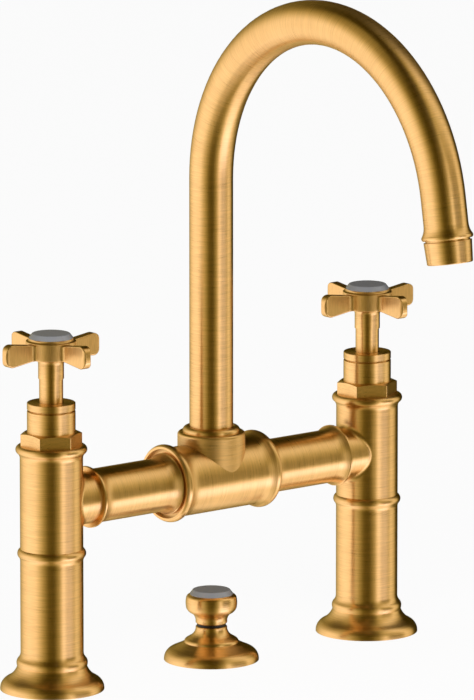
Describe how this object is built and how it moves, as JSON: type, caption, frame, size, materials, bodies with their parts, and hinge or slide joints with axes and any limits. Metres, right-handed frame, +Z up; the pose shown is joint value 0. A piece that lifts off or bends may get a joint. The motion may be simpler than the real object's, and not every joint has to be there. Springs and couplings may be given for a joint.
{
  "type": "two-handle bridge basin mixer",
  "caption": "Deck-standing basin mixer: two pillar valves with cross handles, a bridge with a swivelling gooseneck spout, and a separate pull knob for a pop-up waste.",
  "frame": {"origin": "on the deck, on the waste pull's axis, midway between the two pillars", "axes": "+X along the bridge from the hot pillar to the cold pillar, +Y to the back, away from the basin, +Z up from the deck; the spout reaches towards -Y"},
  "size_m": [0.2576, 0.2173, 0.3375],
  "materials": {
    "brushed_brass": "brushed gold, fine turning marks",
    "raw_brass": "machined",
    "porcelain": "glazed, glossy",
    "valve_ceramic": "lapped",
    "seal_rubber": "matt",
    "stainless_steel": "bright",
    "pale_plastic": "moulded"
  },
  "bodies": {
    "mixer_body": {"hot_base_flange": "brushed_brass", "hot_column": "brushed_brass", "hot_valve_body": "brushed_brass", "hot_bonnet_nut": "brushed_brass", "hot_bonnet_sleeve": "brushed_brass", "hot_bonnet_cap": "brushed_brass", "hot_bridge_tube": "brushed_brass", "hot_base_seal": "seal_rubber", "hot_cartridge_body": "raw_brass", "hot_cartridge_seal": "seal_rubber", "hot_fixed_disc": "valve_ceramic", "hot_pillar_oring": "seal_rubber", "hot_tee_oring": "seal_rubber", "cold_base_flange": "brushed_brass", "cold_column": "brushed_brass", "cold_valve_body": "brushed_brass", "cold_bonnet_nut": "brushed_brass", "cold_bonnet_sleeve": "brushed_brass", "cold_bonnet_cap": "brushed_brass", "cold_bridge_tube": "brushed_brass", "cold_base_seal": "seal_rubber", "cold_cartridge_body": "raw_brass", "cold_cartridge_seal": "seal_rubber", "cold_fixed_disc": "valve_ceramic", "cold_pillar_oring": "seal_rubber", "cold_tee_oring": "seal_rubber", "bridge_tee": "brushed_brass", "swivel_collar": "brushed_brass", "swivel_stop_screw": "stainless_steel", "popup_escutcheon": "brushed_brass", "popup_base_seal": "seal_rubber", "popup_guide_bush": "pale_plastic", "popup_buffer_ring": "seal_rubber"},
    "hot_handle": {"hot_moving_disc": "valve_ceramic", "hot_spindle": "raw_brass", "hot_spindle_orings": "seal_rubber", "hot_spindle_clip": "stainless_steel", "hot_handle_adapter": "brushed_brass", "hot_handle_cross": "brushed_brass", "hot_handle_screw": "stainless_steel", "hot_handle_cap": "porcelain"},
    "cold_handle": {"cold_moving_disc": "valve_ceramic", "cold_spindle": "raw_brass", "cold_spindle_orings": "seal_rubber", "cold_spindle_clip": "stainless_steel", "cold_handle_adapter": "brushed_brass", "cold_handle_cross": "brushed_brass", "cold_handle_screw": "stainless_steel", "cold_handle_cap": "porcelain"},
    "spout": {"spout_tube": "brushed_brass", "spout_spigot": "raw_brass", "spout_orings": "seal_rubber", "spout_slide_ring": "pale_plastic", "aerator_shell": "brushed_brass", "aerator_insert": "pale_plastic", "aerator_washer": "seal_rubber"},
    "popup_pull": {"popup_rod": "raw_brass", "popup_knob": "brushed_brass", "popup_knob_cap": "porcelain"}
  },
  "joints": [
    {"name": "spout_swivel", "type": "hinge", "parent": "mixer_body", "child": "spout", "pos_m": [0, 0, 0.11435], "axis": [0, 0, 1], "range_deg": [-60, 60]},
    {"name": "hot_handle_turn", "type": "hinge", "parent": "mixer_body", "child": "hot_handle", "pos_m": [-0.1, 0, 0.16345], "axis": [0, 0, 1], "range_deg": [0, 90]},
    {"name": "cold_handle_turn", "type": "hinge", "parent": "mixer_body", "child": "cold_handle", "pos_m": [0.1, 0, 0.16345], "axis": [0, 0, 1], "range_deg": [-90, 0]},
    {"name": "popup_knob_lift", "type": "slide", "parent": "mixer_body", "child": "popup_pull", "axis": [0, 0, 1], "range_m": [0, 0.014]}
  ]
}
